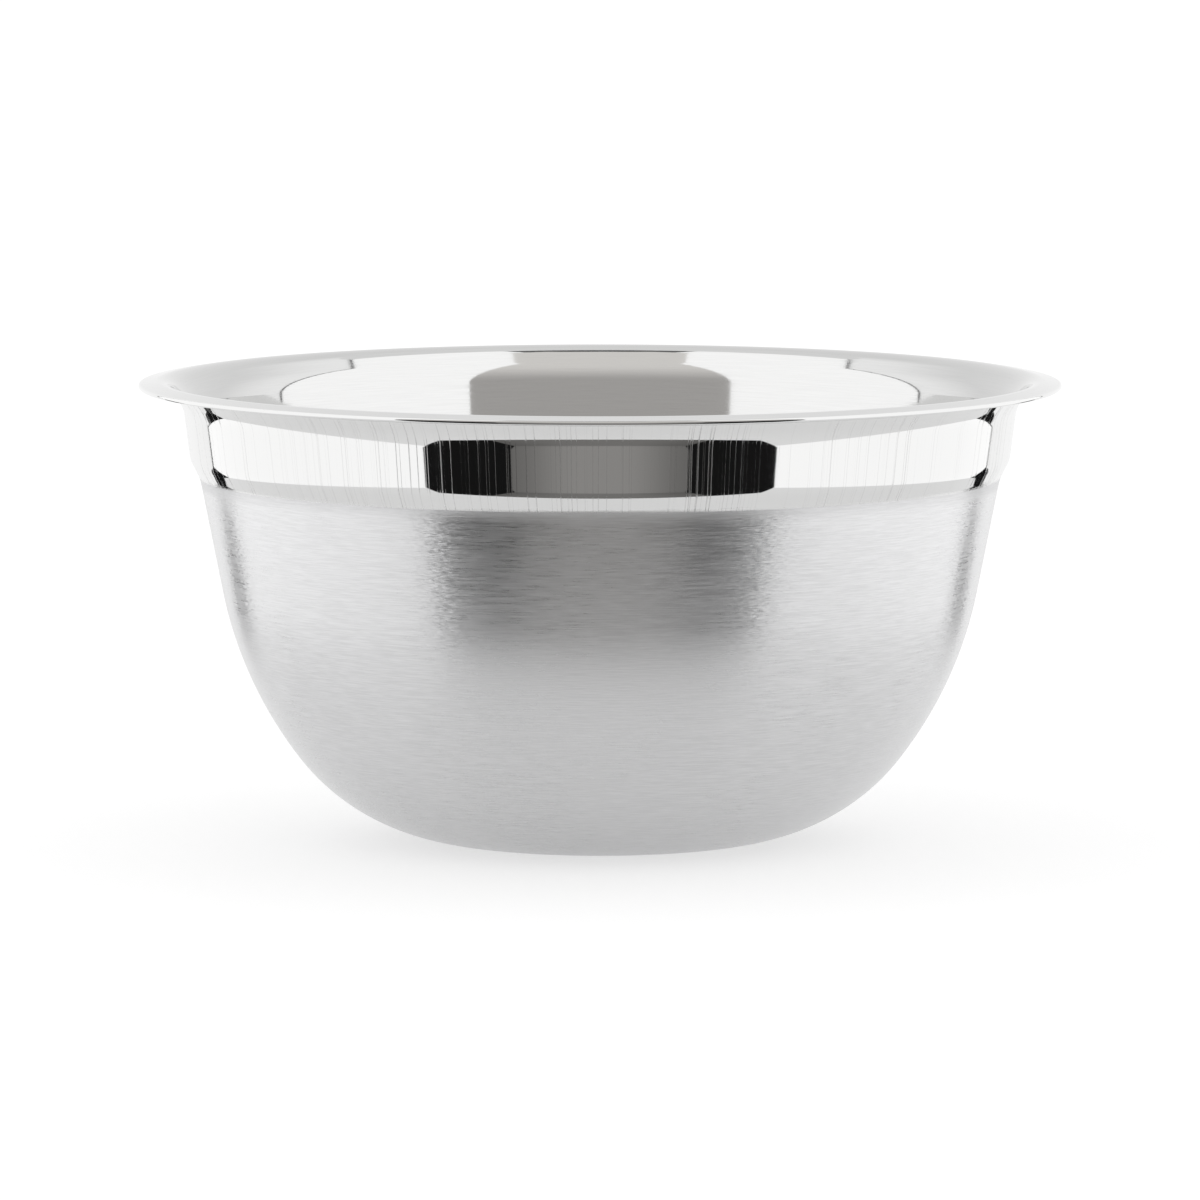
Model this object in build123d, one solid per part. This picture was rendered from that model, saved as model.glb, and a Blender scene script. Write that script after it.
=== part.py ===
from build123d import *
import os
from math import atan, cos, degrees, radians, sin
from typing import NamedTuple

# A round mixing bowl, pressed from a single sheet of stainless steel. The sheet runs from
# a flat resting base through a bottom round and a flaring side wall, over a small outward
# step, a straight collar band and a short flare, to a narrow drooping rim that drips run off
# and a hand grips. The bowl has no welded, riveted or moving piece.
#
# The one sheet is held as five closed zones, each with its own form or finish. Neighbours
# meet face to face and don't overlap, so the five together are exactly the one sheet.
# +Z is up and the origin is the centre of the base's underside.
#
# Lengths are in millimetres and angles in degrees. Radii and lengths are those of the
# outer surface of the sheet. A lean is an angle from the vertical.

# Overall size
RIM_RADIUS = 120.0
HEIGHT = 120.3
SHEET = 1.0

# Base, bottom round and side wall, which starts with a wider round of its own
BASE_RADIUS = 33.7
BOTTOM_BEND = 56.6
SIDE_BEND = 103.8
SIDE_TURN = 26.6
SIDE_LEAN = 11.2
SIDE_LENGTH = 28.4

# Step from the side wall out to the collar: a hollow, a short slope and a shoulder
HOLLOW_BEND = 11.0
STEP_LEAN = 27.5
STEP_LENGTH = 2.6
SHOULDER_BEND = 7.5

# Collar, which turns outwards at a soft neck into a short flare, and the rim over it
COLLAR_LEAN = 7.3
NECK_BEND = 9.0
FLARE_LEAN = 37.0
FLARE_LENGTH = 2.9
RIM_BEND = 4.0
RIM_DROOP = 12.0
RIM_EDGE = 1.35


class Straight(NamedTuple):
    """A straight stretch of the sheet."""

    length: float


class Bend(NamedTuple):
    """A round stretch: it turns inwards for a positive angle, and outwards for a negative one."""

    radius: float
    turn: float


def direction(heading):
    """The unit vector at an angle from the outward direction, turning up."""
    return Vector(cos(radians(heading)), sin(radians(heading)))


def trace(start, heading, stretches, depth=0.0):
    """The edges that follow the stretches, depth inside the sheet's outer surface."""
    point = start + direction(heading + 90) * depth
    edges = []
    for stretch in stretches:
        if isinstance(stretch, Straight):
            edge = Line(point, point + direction(heading) * stretch.length)
        else:
            inward = 1 if stretch.turn > 0 else -1
            edge = JernArc(point, direction(heading), stretch.radius - inward * depth, stretch.turn)
            heading += stretch.turn
        edges.append(edge)
        point = edge @ 1
    return edges


def ring(outside, inside):
    """The closed solid between two traces that run the same way, turned about +Z."""
    start_cut = Line(outside[0] @ 0, inside[0] @ 0)
    end_cut = Line(outside[-1] @ 1, inside[-1] @ 1)
    section = make_face([*outside, end_cut, *inside, start_cut])
    return revolve(Plane.XZ * section, Axis.Z)


# Headings along the outer surface, from flat at the base to the drooping rim
SIDE_HEADING = 90 - SIDE_LEAN
STEP_HEADING = 90 - STEP_LEAN
COLLAR_HEADING = 90 - COLLAR_LEAN
FLARE_HEADING = 90 - FLARE_LEAN
BOTTOM_HEADING = SIDE_HEADING - SIDE_TURN

BOTTOM = [Bend(BOTTOM_BEND, BOTTOM_HEADING)]
SIDE = [Bend(SIDE_BEND, SIDE_TURN), Straight(SIDE_LENGTH)]
STEP = [
    Bend(HOLLOW_BEND, STEP_HEADING - SIDE_HEADING),
    Straight(STEP_LENGTH),
    Bend(SHOULDER_BEND, COLLAR_HEADING - STEP_HEADING),
]
NECK = Bend(NECK_BEND, FLARE_HEADING - COLLAR_HEADING)

base_edge = Vector(BASE_RADIUS, 0)
bottom_top = trace(base_edge, 0, BOTTOM)[-1] @ 1
side_top = trace(bottom_top, BOTTOM_HEADING, SIDE)[-1] @ 1
step_top = trace(side_top, SIDE_HEADING, STEP)[-1] @ 1

# The collar is as long as the height asks for: the rim's bend then tops out at HEIGHT
neck_rise = NECK_BEND * (cos(radians(FLARE_HEADING)) - cos(radians(COLLAR_HEADING)))
flare_rise = FLARE_LENGTH * sin(radians(FLARE_HEADING))
bend_rise = RIM_BEND * (1 - cos(radians(FLARE_HEADING)))
collar_rise = HEIGHT - SHEET - bend_rise - flare_rise - neck_rise - step_top.Y
COLLAR = [Straight(collar_rise / sin(radians(COLLAR_HEADING))), NECK, Straight(FLARE_LENGTH)]
flare_top = trace(step_top, COLLAR_HEADING, COLLAR)[-1] @ 1

# The rim reaches out to RIM_RADIUS, and its sheet thickens towards the round edge as a
# drawn flange does: half of that growth shows above and half below
bend_centre = flare_top + direction(FLARE_HEADING - 90) * RIM_BEND
middle_start = bend_centre + direction(90 - RIM_DROOP) * (RIM_BEND + SHEET / 2)
edge_run = (RIM_RADIUS - RIM_EDGE / 2 - middle_start.X) / cos(radians(RIM_DROOP))
edge_centre = middle_start + direction(-RIM_DROOP) * edge_run
EDGE_FLARE = degrees(atan((RIM_EDGE - SHEET) / 2 / edge_run))


def base_disc():
    """The flat round base, which the bowl rests on."""
    return Cylinder(BASE_RADIUS, SHEET, align=(Align.CENTER, Align.CENTER, Align.MIN))


def bottom_round():
    """The brushed round that lifts the sheet from the base into the side."""
    return ring(trace(base_edge, 0, BOTTOM), trace(base_edge, 0, BOTTOM, SHEET))


def side_wall():
    """The brushed side: a wide round that straightens into a flaring wall."""
    outside = trace(bottom_top, BOTTOM_HEADING, SIDE)
    inside = trace(bottom_top, BOTTOM_HEADING, SIDE, SHEET)
    return ring(outside, inside)


def collar_band():
    """The mirror-polished collar: the step, the straight band, the neck, the flare and the bend."""
    outside = trace(side_top, SIDE_HEADING, [*STEP, *COLLAR, rim_bend(EDGE_FLARE)])
    inside = trace(side_top, SIDE_HEADING, [*STEP, *COLLAR, rim_bend(-EDGE_FLARE)], SHEET)
    return ring(outside, inside)


def rim_bend(flare):
    """The bend over the flare. It ends in line with the rim's face, which flares a little too."""
    return Bend(RIM_BEND, -(FLARE_HEADING + RIM_DROOP + flare))


def rim_flange():
    """The narrow flared rim with its smooth round edge."""
    under = direction(90 - RIM_DROOP - EDGE_FLARE)
    over = direction(90 - RIM_DROOP + EDGE_FLARE)
    below = Line(bend_centre + under * RIM_BEND, edge_centre - under * (RIM_EDGE / 2))
    above = Line(bend_centre + over * (RIM_BEND + SHEET), edge_centre + over * (RIM_EDGE / 2))
    tip = edge_centre + direction(-RIM_DROOP) * (RIM_EDGE / 2)
    edge = ThreePointArc(below @ 1, tip, above @ 1)
    start_cut = Line(below @ 0, above @ 0)
    section = make_face([below, edge, above, start_cut])
    return revolve(Plane.XZ * section, Axis.Z)


os.makedirs("parts", exist_ok=True)
for make in (base_disc, bottom_round, side_wall, collar_band, rim_flange):
    export_step(make(), f"parts/{make.__name__}.step")
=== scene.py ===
from math import atan, ceil, cos, degrees, pi, radians, sin
from typing import NamedTuple

import bpy
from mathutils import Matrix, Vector


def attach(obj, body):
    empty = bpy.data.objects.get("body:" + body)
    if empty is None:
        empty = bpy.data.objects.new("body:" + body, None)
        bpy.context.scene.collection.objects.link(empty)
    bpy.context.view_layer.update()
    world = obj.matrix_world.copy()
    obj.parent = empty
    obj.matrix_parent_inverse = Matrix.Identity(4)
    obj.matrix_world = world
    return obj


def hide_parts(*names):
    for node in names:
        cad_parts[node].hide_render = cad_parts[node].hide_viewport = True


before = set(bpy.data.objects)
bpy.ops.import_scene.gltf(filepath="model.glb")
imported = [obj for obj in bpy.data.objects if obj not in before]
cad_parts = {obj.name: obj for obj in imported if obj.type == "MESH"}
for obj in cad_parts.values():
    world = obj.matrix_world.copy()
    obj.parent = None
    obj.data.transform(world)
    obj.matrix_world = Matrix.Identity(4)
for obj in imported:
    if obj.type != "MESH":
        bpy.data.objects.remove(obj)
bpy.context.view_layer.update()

# A round steel mixing bowl. Its five zones are lathe-turned meshes on the CAD's own profile:
# mirror-polished inside, on the rim and on the collar, and brushed round the outside below.
# Lengths are in metres and angles in degrees, and +Z is up through the bowl's mouth.

# Profile, as the CAD part has it
RIM_RADIUS = 0.120
HEIGHT = 0.1203
SHEET = 0.001
BASE_RADIUS = 0.0337
BOTTOM_BEND = 0.0566
SIDE_BEND = 0.1038
SIDE_TURN = 26.6
SIDE_LEAN = 11.2
SIDE_LENGTH = 0.0284
HOLLOW_BEND = 0.011
STEP_LEAN = 27.5
STEP_LENGTH = 0.0026
SHOULDER_BEND = 0.0075
COLLAR_LEAN = 7.3
NECK_BEND = 0.009
FLARE_LEAN = 37.0
FLARE_LENGTH = 0.0029
RIM_BEND = 0.004
RIM_DROOP = 12.0
RIM_EDGE = 0.00135

# Mesh fineness, and the length below which two points are one
ROUND_STEPS = 288
ARC_STEP = 1.6
LINE_STEP = 0.004
TINY = 1e-7

# Finish. The outside is brushed up to the finish line, and its last stretch below that is duller.
# The draw lines on the collar fade out under the rim.
FINISH_LINE = 0.0952
FINISH_FRAY = 0.0012
DULL_START = 0.0915
DULL_END = 0.0935
DRAW_FADE_START = 0.1165
DRAW_FADE_END = 0.1185
POLISHED_COLOUR = (0.63, 0.63, 0.627)
BRUSHED_COLOUR = (0.60, 0.60, 0.605)


def direction(heading):
    """The unit vector at an angle from the outward direction, turning up."""
    return Vector((cos(radians(heading)), sin(radians(heading))))


def line(start, end, normal):
    """Samples of a straight edge, each a point and the surface's normal there."""
    count = max(1, ceil((end - start).length / LINE_STEP))
    return [(start.lerp(end, i / count), normal) for i in range(count + 1)]


def arc(centre, radius, first, last, facing=1):
    """Samples of a round edge. Facing is 1 for a surface that looks away from the centre, or else -1."""
    count = max(2, ceil(abs(last - first) / ARC_STEP))
    angles = [first + (last - first) * i / count for i in range(count + 1)]
    return [(centre + direction(a) * radius, direction(a) * facing) for a in angles]


class Sheet:
    """One face of the steel sheet, followed from the base towards the rim."""

    def __init__(self, point, heading, depth):
        self.depth = depth
        self.heading = heading
        self.point = point + direction(heading + 90) * depth
        # The outer face looks to the right of its heading, and the inner face to the left
        self.facing = 1 if depth else -1
        self.samples = []

    def straight(self, length):
        end = self.point + direction(self.heading) * length
        self.samples += line(self.point, end, direction(self.heading + 90) * self.facing)
        self.point = end
        return self

    def bend(self, radius, turn):
        """A round stretch, which turns inwards for a positive angle. The radius is the outer face's."""
        inward = 1 if turn > 0 else -1
        own = radius - inward * self.depth
        centre = self.point + direction(self.heading + 90 * inward) * own
        first = self.heading - 90 * inward
        self.samples += arc(centre, own, first, first + turn, -inward * self.facing)
        self.heading += turn
        self.point = self.samples[-1][0]
        return self


def both_faces(point, heading, follow):
    """The samples of the outer and the inner face along the same stretches."""
    return [follow(Sheet(point, heading, depth)).samples for depth in (0.0, SHEET)]


SIDE_HEADING = 90 - SIDE_LEAN
STEP_HEADING = 90 - STEP_LEAN
COLLAR_HEADING = 90 - COLLAR_LEAN
FLARE_HEADING = 90 - FLARE_LEAN
BOTTOM_HEADING = SIDE_HEADING - SIDE_TURN


def bottom(face):
    return face.bend(BOTTOM_BEND, BOTTOM_HEADING)


def side(face):
    return face.bend(SIDE_BEND, SIDE_TURN).straight(SIDE_LENGTH)


def step(face):
    face.bend(HOLLOW_BEND, STEP_HEADING - SIDE_HEADING).straight(STEP_LENGTH)
    return face.bend(SHOULDER_BEND, COLLAR_HEADING - STEP_HEADING)


base_edge = Vector((BASE_RADIUS, 0))
bottom_top = bottom(Sheet(base_edge, 0, 0.0)).point
side_top = side(Sheet(bottom_top, BOTTOM_HEADING, 0.0)).point
step_top = step(Sheet(side_top, SIDE_HEADING, 0.0)).point

# The collar is as long as the height asks for: the rim's bend then tops out at HEIGHT
neck_rise = NECK_BEND * (cos(radians(FLARE_HEADING)) - cos(radians(COLLAR_HEADING)))
flare_rise = FLARE_LENGTH * sin(radians(FLARE_HEADING))
bend_rise = RIM_BEND * (1 - cos(radians(FLARE_HEADING)))
collar_rise = HEIGHT - SHEET - bend_rise - flare_rise - neck_rise - step_top.y
collar_length = collar_rise / sin(radians(COLLAR_HEADING))


def flare(face):
    face.straight(collar_length).bend(NECK_BEND, FLARE_HEADING - COLLAR_HEADING)
    return face.straight(FLARE_LENGTH)


# The rim's sheet thickens towards its round edge, half above and half below
flare_top = flare(Sheet(step_top, COLLAR_HEADING, 0.0)).point
bend_centre = flare_top + direction(FLARE_HEADING - 90) * RIM_BEND
middle_start = bend_centre + direction(90 - RIM_DROOP) * (RIM_BEND + SHEET / 2)
edge_run = (RIM_RADIUS - RIM_EDGE / 2 - middle_start.x) / cos(radians(RIM_DROOP))
edge_centre = middle_start + direction(-RIM_DROOP) * edge_run
EDGE_FLARE = degrees(atan((RIM_EDGE - SHEET) / 2 / edge_run))


def collar(face):
    """The step, collar, neck and flare, and the bend that ends in line with the rim's face."""
    spread = -EDGE_FLARE if face.depth else EDGE_FLARE
    return flare(step(face)).bend(RIM_BEND, -(FLARE_HEADING + RIM_DROOP + spread))


def rim_faces():
    """The rim's lower face with its round edge, and its upper face, both from the bend outwards."""
    under = direction(90 - RIM_DROOP - EDGE_FLARE)
    over = direction(90 - RIM_DROOP + EDGE_FLARE)
    below = line(bend_centre + under * RIM_BEND, edge_centre - under * (RIM_EDGE / 2), -under)
    edge = arc(edge_centre, RIM_EDGE / 2, -90 - RIM_DROOP - EDGE_FLARE, 90 - RIM_DROOP + EDGE_FLARE)
    above = line(bend_centre + over * (RIM_BEND + SHEET), edge_centre + over * (RIM_EDGE / 2), over)
    return below + edge, above


def disc_faces():
    """The base's lower and upper face, from the axis outwards."""
    up = Vector((0, 1))
    across = Vector((BASE_RADIUS, 0))
    lower = line(Vector((0, 0)), across, -up)
    upper = line(up * SHEET, across + up * SHEET, up)
    return lower, upper


class Stretch(NamedTuple):
    """A straight stretch of a closed section, with the true surface's normals at its two ends."""

    start: Vector
    end: Vector
    start_normal: Vector
    end_normal: Vector
    outer: bool


def surface(samples, outer):
    """The stretches between neighbouring samples."""
    return [Stretch(p, q, m, n, outer) for (p, m), (q, n) in zip(samples, samples[1:])]


def cut(start, end):
    """The flat stretch across the sheet, where a zone meets its neighbour."""
    along = (end - start).normalized()
    flat = Vector((along.y, -along.x))
    return Stretch(start, end, flat, flat, False)


def closed_section(outside, inside):
    """The stretches all round a section. Those without a length or on the axis make no surface."""
    back = inside[::-1]
    stretches = surface(outside, True) + [cut(outside[-1][0], back[0][0])]
    stretches += surface(back, False) + [cut(back[-1][0], outside[0][0])]
    real = [s for s in stretches if (s.end - s.start).length > TINY]
    return [s for s in real if s.start.x > TINY or s.end.x > TINY]


CIRCLE = [(cos(2 * pi * j / ROUND_STEPS), sin(2 * pi * j / ROUND_STEPS)) for j in range(ROUND_STEPS)]


def turned_rings(stretches):
    """The vertices of the turned section, and for each point of it the vertex numbers all the way round."""
    points = [stretch.start for stretch in stretches]
    end = stretches[-1].end
    ends_on_axis = end.x < TINY
    if ends_on_axis:
        points.append(end)
    vertices, rings = [], []
    for point in points:
        first = len(vertices)
        if point.x < TINY:
            vertices.append((0, 0, point.y))
            rings.append([first] * ROUND_STEPS)
        else:
            vertices += [(point.x * c, point.x * s, point.y) for c, s in CIRCLE]
            rings.append([first + j for j in range(ROUND_STEPS)])
    if not ends_on_axis:
        rings.append(rings[0])
    return vertices, rings


def turned_polygons(stretches, rings, has_finish_line):
    """The polygons between neighbouring rings, their corners' normals and their material slots."""
    polygons, normals, slots = [], [], []
    for (start, end, m, n, outer), low, high in zip(stretches, rings, rings[1:]):
        below_line = has_finish_line and (start.y + end.y) / 2 < FINISH_LINE
        slot = (2 if below_line else 1) if outer else 0
        for j in range(ROUND_STEPS):
            k = (j + 1) % ROUND_STEPS
            corners = [(low[j], m, j), (low[k], m, k), (high[k], n, k), (high[j], n, j)]
            if low[j] == low[k]:
                del corners[1]
            if high[j] == high[k]:
                del corners[-1]
            polygons.append([vertex for vertex, _, _ in corners])
            normals += [(v.x * CIRCLE[i][0], v.x * CIRCLE[i][1], v.y) for _, v, i in corners]
            slots.append(slot)
    return polygons, normals, slots


def turn(name, faces, materials):
    """The closed solid that a section makes when it is turned about +Z.

    The materials are the inside's, the outside's and, if there is a third, that of the outside
    below the finish line.
    """
    stretches = closed_section(*faces)
    vertices, rings = turned_rings(stretches)
    polygons, normals, slots = turned_polygons(stretches, rings, len(materials) > 2)
    mesh = bpy.data.meshes.new(name)
    mesh.from_pydata(vertices, [], polygons)
    for material in materials:
        mesh.materials.append(material)
    mesh.polygons.foreach_set("material_index", slots)
    mesh.polygons.foreach_set("use_smooth", [True] * len(polygons))
    mesh.update()
    mesh.normals_split_custom_set(normals)
    made = bpy.data.objects.new(name, mesh)
    bpy.context.scene.collection.objects.link(made)
    return made


class Place(NamedTuple):
    """The sockets that say where the surface is."""

    at: bpy.types.NodeSocket
    reach: bpy.types.NodeSocket
    height: bpy.types.NodeSocket
    spoke: bpy.types.NodeSocket


class Nodes:
    """A material's or world's node tree, with short calls to add and join nodes."""

    def __init__(self, owner):
        owner.use_nodes = True
        self.tree = owner.node_tree
        self.tree.nodes.clear()

    def add(self, kind, inputs, **settings):
        """A node. Its inputs are sockets' names or numbers, each with a value or another node's socket."""
        node = self.tree.nodes.new(kind)
        for name, value in settings.items():
            setattr(node, name, value)
        for key, value in inputs.items():
            if isinstance(value, bpy.types.NodeSocket):
                self.tree.links.new(value, node.inputs[key])
            else:
                node.inputs[key].default_value = value
        return node

    def math(self, operation, a, b=0.0):
        return self.add("ShaderNodeMath", {0: a, 1: b}, operation=operation).outputs[0]

    def plus(self, a, b):
        return self.math("ADD", a, b)

    def minus(self, a, b):
        return self.math("SUBTRACT", a, b)

    def times(self, a, b):
        return self.math("MULTIPLY", a, b)

    def vector(self, operation, a, b=(0.0, 0.0, 0.0)):
        return self.add("ShaderNodeVectorMath", {0: a, 1: b}, operation=operation).outputs[0]

    def scale(self, vector, share):
        """A vector or a colour times a number that varies over the surface."""
        return self.add("ShaderNodeVectorMath", {0: vector, "Scale": share}, operation="SCALE").outputs[0]

    def ramp(self, value, low, high, to_low=0.0, to_high=1.0, smooth=False):
        """A value's range from low to high, taken to the range from to_low to to_high."""
        ranges = {"From Min": low, "From Max": high, "To Min": to_low, "To Max": to_high}
        kind = "SMOOTHSTEP" if smooth else "LINEAR"
        return self.add("ShaderNodeMapRange", {"Value": value, **ranges}, interpolation_type=kind).outputs[0]

    def noise(self, vector, scale=1.0, detail=2.0, roughness=0.5):
        inputs = {"Vector": vector, "Scale": scale, "Detail": detail, "Roughness": roughness}
        return self.add("ShaderNodeTexNoise", inputs).outputs["Fac"]

    def place(self):
        """The object's own coordinates, the distance from its axis, the height and the unit spoke."""
        at = self.add("ShaderNodeTexCoord", {}).outputs["Object"]
        spoke = self.vector("MULTIPLY", at, (1, 1, 0))
        reach = self.add("ShaderNodeVectorMath", {0: spoke}, operation="LENGTH").outputs["Value"]
        height = self.add("ShaderNodeSeparateXYZ", {"Vector": at}).outputs["Z"]
        return Place(at, reach, height, self.vector("NORMALIZE", spoke))

    def around(self, place, round_scale, rise=0.0):
        """Coordinates that run round the bowl at one scale, with a value of their own across that."""
        across = self.add("ShaderNodeCombineXYZ", {"Z": rise}).outputs[0]
        round_part = self.vector("MULTIPLY", place.spoke, (round_scale, round_scale, 0))
        return self.vector("ADD", round_part, across)

    def lathe(self, place, round_scale, along_scale):
        """Coordinates whose features run round the bowl: long along a circle and fine along the profile."""
        along = self.times(self.plus(place.reach, place.height), along_scale)
        return self.around(place, round_scale, along)

    def bump(self, relief, strength, distance):
        """The surface's normal over a small relief."""
        inputs = {"Height": relief, "Strength": strength, "Distance": distance}
        return self.add("ShaderNodeBump", inputs).outputs[0]

    def show(self, kind, inputs):
        """The shader that the material's surface shows."""
        shader = self.add(kind, inputs)
        self.add("ShaderNodeOutputMaterial", {"Surface": shader.outputs[0]})

    def steel(self, colour, share, roughness, normal, grain):
        """Shows steel. The share of the colour varies, and the grain holds any other inputs."""
        look = {"Metallic": 1.0, "Base Color": self.scale(colour, share), "Roughness": roughness}
        self.show("ShaderNodeBsdfPrincipled", {**look, "Normal": normal, **grain})


def new_material(name):
    material = bpy.data.materials.new(name)
    return material, Nodes(material)


def polished_inside():
    """Mirror polish with faint round hairlines from the buffing wheel and a slight unevenness."""
    material, nodes = new_material("polished_inside")
    place = nodes.place()
    hairs = nodes.noise(nodes.lathe(place, 9, 3600))
    uneven = nodes.ramp(nodes.noise(place.at, 38.0), 0.4, 0.7, 0.0, 0.02)
    rough = nodes.plus(nodes.ramp(hairs, 0.35, 0.75, 0.035, 0.075), uneven)
    share = nodes.ramp(hairs, 0.3, 0.8, 1.0, 0.95)
    nodes.steel(POLISHED_COLOUR, share, rough, nodes.bump(hairs, 0.03, 0.00002), {})
    return material


def draw_lines(nodes, place):
    """Where fine lines run up the collar, in clumps, from the drawing of the sheet."""
    fine = nodes.noise(nodes.around(place, 300, nodes.times(place.height, 5.0)), detail=1.0)
    clumps = nodes.noise(nodes.around(place, 5), detail=1.0)
    sparse = nodes.times(nodes.ramp(fine, 0.595, 0.695), nodes.ramp(clumps, 0.35, 0.65, 0.3, 1.0))
    return nodes.times(sparse, nodes.ramp(place.height, DRAW_FADE_START, DRAW_FADE_END, 1.0, 0.0))


def polished_outside():
    """Mirror polish crossed by fine draw lines, and dulled in a ragged edge just above the brushing."""
    material, nodes = new_material("polished_outside")
    place = nodes.place()
    lines = draw_lines(nodes, place)
    hairs = nodes.noise(nodes.lathe(place, 14, 2600))
    ragged = nodes.plus(place.height, nodes.times(nodes.minus(hairs, 0.5), 0.003))
    dulled = nodes.ramp(ragged, FINISH_LINE, FINISH_LINE + FINISH_FRAY, 1.0, 0.0, smooth=True)
    rough = nodes.plus(0.04, nodes.plus(nodes.times(lines, 0.35), nodes.times(dulled, 0.2)))
    share = nodes.minus(1.0, nodes.times(lines, 0.2))
    relief = nodes.plus(lines, nodes.times(nodes.times(hairs, dulled), 0.5))
    nodes.steel(POLISHED_COLOUR, share, rough, nodes.bump(relief, 0.25, 0.00003), {})
    return material


def brushed():
    """A satin finish brushed round the bowl, which smears reflections up and down its side."""
    material, nodes = new_material("brushed_outside")
    place = nodes.place()
    strokes = nodes.noise(nodes.lathe(place, 10, 2600), detail=3.0, roughness=0.6)
    threads = nodes.noise(nodes.lathe(place, 22, 5200))
    grain = nodes.plus(nodes.times(strokes, 0.65), nodes.times(threads, 0.35))
    uneven = nodes.ramp(nodes.noise(place.at, 24.0), 0.3, 0.7, -0.02, 0.02)
    dulled = nodes.ramp(place.height, DULL_START, DULL_END, 0.0, 0.1, smooth=True)
    rough = nodes.plus(nodes.plus(nodes.ramp(grain, 0.38, 0.62, 0.27, 0.37), uneven), dulled)
    share = nodes.plus(nodes.ramp(grain, 0.4, 0.6, 0.91, 1.05), uneven)
    # Short wavelets tilt the surface sideways along the strokes, which frays an upright reflection
    tangent = nodes.add("ShaderNodeTangent", {}, direction_type="RADIAL", axis="Z").outputs[0]
    wavelets = nodes.noise(nodes.lathe(place, 60, 4200), roughness=0.6)
    sway = nodes.scale(tangent, nodes.times(nodes.minus(wavelets, 0.5), 0.28))
    normal = nodes.vector("NORMALIZE", nodes.vector("ADD", nodes.bump(grain, 0.3, 0.00004), sway))
    lay = {"Tangent": tangent, "Anisotropic": 0.8, "Anisotropic Rotation": 0.25}
    nodes.steel(BRUSHED_COLOUR, share, rough, normal, lay)
    return material


def make_bowl():
    inner, outer, satin = polished_inside(), polished_outside(), brushed()
    bottom_faces = both_faces(base_edge, 0, bottom)
    side_faces = both_faces(bottom_top, BOTTOM_HEADING, side)
    collar_faces = both_faces(side_top, SIDE_HEADING, collar)
    pieces = [
        ("bowl_base", "base_disc", disc_faces(), [inner, satin], "brushed_steel"),
        ("bowl_bottom", "bottom_round", bottom_faces, [inner, satin], "brushed_steel"),
        ("bowl_side", "side_wall", side_faces, [inner, satin], "brushed_steel"),
        ("bowl_collar", "collar_band", collar_faces, [inner, outer, satin], "polished_steel"),
        ("bowl_rim", "rim_flange", rim_faces(), [inner, outer], "polished_steel"),
    ]
    for name, node, faces, materials, slot in pieces:
        piece = turn(name, faces, materials)
        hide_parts(node)
        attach(piece, "root")


# Camera, on the -Y side. It looks at a point on the bowl's axis.
CAMERA_ELEVATION = 5.85
CAMERA_DISTANCE = 2.821
CAMERA_LENS = 324.7
CAMERA_SENSOR = 36.0
AIM_HEIGHT = 0.0625

# Floor, a little under the bowl's base
FLOOR_HALF = 40.0
FLOOR_DROP = 0.0002

# The steel stands in a small tent of cards that only the steel shows: white side panels, a white
# back and a dark opening to the front with a grey middle
TENT_SIDE = 0.25
TENT_FRONT = -0.266
TENT_BACK = 0.142
TENT_HEIGHT = 1.3
BACK_REACH = 0.30
BACK_AZIMUTH = 120.3
BACK_HEIGHT = 0.5
OPENING_SIDE = 0.097
OPENING_HEIGHT = 0.15

# Dark gaps between the side panels and the back, narrow above and wider at the foot
GAP_REACH = 0.288
GAP_AZIMUTH = 119.2
GAP_TOP_AZIMUTH = 120.5
GAP_FOOT_AZIMUTH = 136.0
GAP_FOOT_HEIGHT = 0.055

# Aprons on the floor before the opening: a grey one in the middle and a dark one on each side.
# They start nearer to the bowl than the opening, and are a little narrower there.
APRON_START = -0.179
APRON_MIDDLE_SIDE = 0.0873
APRON_SIDE = 0.142
APRON_LIFT = 0.001

# The room beyond the opening, as distances and heights, and the bar across the tent's top
ROOM_PROFILE = [(0.7, 0.1), (0.7, 0.5), (0.5, 0.85), (0.3, 1.05), (0.17, 1.25)]
ROOM_AZIMUTH = 62
BAR_FRONT = -0.16
BAR_BACK = 0.13

WHITE = (1, 1, 1, 1)
WARM = (1.0, 0.975, 0.945, 1)
BOTH_SIDES = ((1, "left"), (-1, "right"))


def glow(name, strength, colour=WHITE, axis=None, span=(0.0, 1.0), end_strength=0.0):
    """A plain light-giving surface. With an axis, its strength changes over a span of that coordinate."""
    material, nodes = new_material(name)
    if axis:
        at = nodes.add("ShaderNodeTexCoord", {}).outputs["Object"]
        across = nodes.math("ABSOLUTE", nodes.add("ShaderNodeSeparateXYZ", {"Vector": at}).outputs[axis])
        strength = nodes.ramp(across, *span, strength, end_strength, smooth=True)
    nodes.show("ShaderNodeEmission", {"Color": colour, "Strength": strength})
    return material


def stage_mesh(name, vertices, polygons, material, only_in_steel=True):
    mesh = bpy.data.meshes.new(name)
    mesh.from_pydata(vertices, [], polygons)
    mesh.materials.append(material)
    made = bpy.data.objects.new(name, mesh)
    bpy.context.scene.collection.objects.link(made)
    if only_in_steel:
        made.visible_camera = False
        made.visible_diffuse = False
        made.visible_shadow = False


def flat_card(name, corners, material):
    stage_mesh(name, corners, [list(range(len(corners)))], material)


def upright_card(name, foot, far_foot, height, material):
    """A flat card that stands on the floor between two points of its plan."""
    (ax, ay), (bx, by) = foot, far_foot
    flat_card(name, [(ax, ay, 0.0), (bx, by, 0.0), (bx, by, height), (ax, ay, height)], material)


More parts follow.
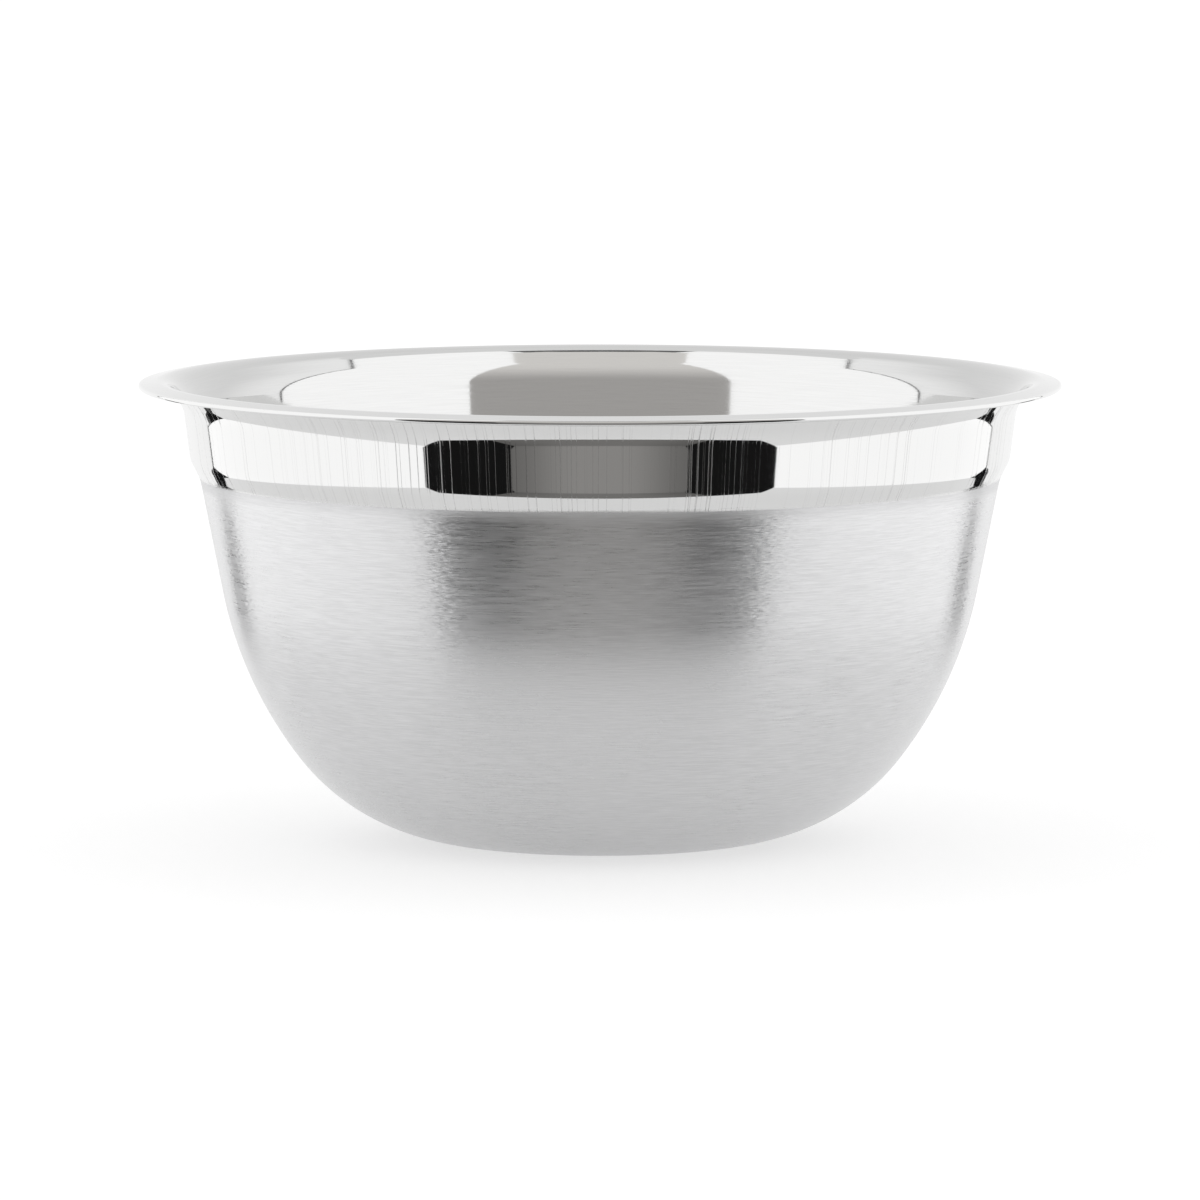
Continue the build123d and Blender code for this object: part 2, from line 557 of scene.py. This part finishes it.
def curved_card(name, profile, first, last, material):
    """A card bent round the bowl's axis, between two azimuths that run left from the camera.

    The profile is distances from the axis and heights.
    """
    count = ceil(abs(last - first) / 2)
    vertices, polygons = [], []
    for i in range(count + 1):
        a = radians(first + (last - first) * i / count)
        vertices += [(-reach * sin(a), -reach * cos(a), height) for reach, height in profile]
    size = len(profile)
    for i in range(count):
        for k in range(size - 1):
            low = i * size + k
            polygons.append([low, low + 1, low + size + 1, low + size])
    stage_mesh(name, vertices, polygons, material)


def make_world():
    """A white sky, a touch brighter towards the horizon."""
    world = bpy.data.worlds.new("studio")
    bpy.context.scene.world = world
    nodes = Nodes(world)
    facing = nodes.add("ShaderNodeTexCoord", {}).outputs["Generated"]
    rise = nodes.add("ShaderNodeSeparateXYZ", {"Vector": facing}).outputs["Z"]
    strength = nodes.ramp(rise, 0.1, 0.5, 1.06, 1.0, smooth=True)
    sky = nodes.add("ShaderNodeBackground", {"Color": WHITE, "Strength": strength})
    nodes.add("ShaderNodeOutputWorld", {"Surface": sky.outputs[0]})


def make_floor():
    """A pale floor that also glows itself, so that the shadow of the bowl on it stays pale."""
    material, nodes = new_material("floor")
    base = {"Base Color": (0.5, 0.5, 0.5, 1), "Roughness": 0.9, "Specular IOR Level": 0.0}
    light = {"Emission Color": WHITE, "Emission Strength": 0.56}
    nodes.show("ShaderNodeBsdfPrincipled", {**base, **light})
    half, z = FLOOR_HALF, -FLOOR_DROP
    corners = [(-half, -half, z), (half, -half, z), (half, half, z), (-half, half, z)]
    stage_mesh("floor", corners, [[0, 1, 2, 3]], material, only_in_steel=False)


def make_wall(sign, tag, white, black):
    """One side panel, the dark card from it to the opening, and the gap between it and the back."""
    x = -TENT_SIDE * sign
    inner = -OPENING_SIDE * sign
    upright_card(f"side_{tag}", (x, TENT_FRONT), (x, TENT_BACK), TENT_HEIGHT, white)
    upright_card(f"dark_{tag}", (x, TENT_FRONT), (inner, TENT_FRONT), OPENING_HEIGHT, black)
    foot = [(GAP_AZIMUTH, 0.0), (GAP_FOOT_AZIMUTH, 0.0), (GAP_TOP_AZIMUTH, GAP_FOOT_HEIGHT)]
    top = [(GAP_TOP_AZIMUTH, BACK_HEIGHT), (GAP_AZIMUTH, BACK_HEIGHT)]
    places = [(radians(azimuth), z) for azimuth, z in foot + top]
    flat_card(f"gap_{tag}", [(-GAP_REACH * sin(a) * sign, -GAP_REACH * cos(a), z) for a, z in places], black)


def make_apron(name, near, far, material):
    """A card on the floor. It runs between two places across at its start, and two at the opening."""
    outline = [(near[0], APRON_START), (near[1], APRON_START), (far[1], TENT_FRONT), (far[0], TENT_FRONT)]
    flat_card(name, [(x, y, APRON_LIFT) for x, y in outline], material)


def make_tent():
    white = glow("tent_white", 1.45)
    back = glow("tent_back", 0.97, WHITE, "X", (0.1, 0.26), 1.25)
    black = glow("tent_black", 0.01)
    grey = glow("tent_grey", 0.36, WARM, "X", (0.02, 0.1), 0.2)
    apron = glow("tent_apron", 0.24, WARM, "X", (0.02, 0.1), 0.15)
    room = glow("tent_room", 0.52, WARM, "Z", (0.24, 0.95), 0.93)
    for sign, tag in BOTH_SIDES:
        make_wall(sign, tag, white, black)
    opening = (-OPENING_SIDE, OPENING_SIDE)
    upright_card("opening", (opening[0], TENT_FRONT), (opening[1], TENT_FRONT), OPENING_HEIGHT, grey)
    make_apron("apron_middle", (-APRON_MIDDLE_SIDE, APRON_MIDDLE_SIDE), opening, apron)
    for sign, tag in BOTH_SIDES:
        near = (-APRON_MIDDLE_SIDE * sign, -APRON_SIDE * sign)
        make_apron(f"apron_{tag}", near, (-OPENING_SIDE * sign, -TENT_SIDE * sign), black)
    back_profile = [(BACK_REACH, 0.0), (BACK_REACH, BACK_HEIGHT)]
    curved_card("back", back_profile, BACK_AZIMUTH, 360 - BACK_AZIMUTH, back)
    curved_card("room", ROOM_PROFILE, -ROOM_AZIMUTH, ROOM_AZIMUTH, room)
    x, z = TENT_SIDE, TENT_HEIGHT
    bar = [(-x, BAR_FRONT, z), (x, BAR_FRONT, z), (x, BAR_BACK, z), (-x, BAR_BACK, z)]
    flat_card("bar", bar, glow("tent_bar", 0.18))


def make_camera():
    data = bpy.data.cameras.new("camera")
    data.sensor_width = CAMERA_SENSOR
    data.lens = CAMERA_LENS
    data.clip_start = 0.1
    data.clip_end = 100.0
    camera = bpy.data.objects.new("camera", data)
    bpy.context.scene.collection.objects.link(camera)
    rise = radians(CAMERA_ELEVATION)
    back = Vector((0, -cos(rise), sin(rise)))
    camera.location = Vector((0, 0, AIM_HEIGHT)) + back * CAMERA_DISTANCE
    camera.rotation_mode = "QUATERNION"
    camera.rotation_quaternion = (-back).to_track_quat("-Z", "Y")
    bpy.context.scene.camera = camera


make_bowl()
make_world()
make_floor()
make_tent()
make_camera()
bpy.context.scene.view_settings.view_transform = "Standard"
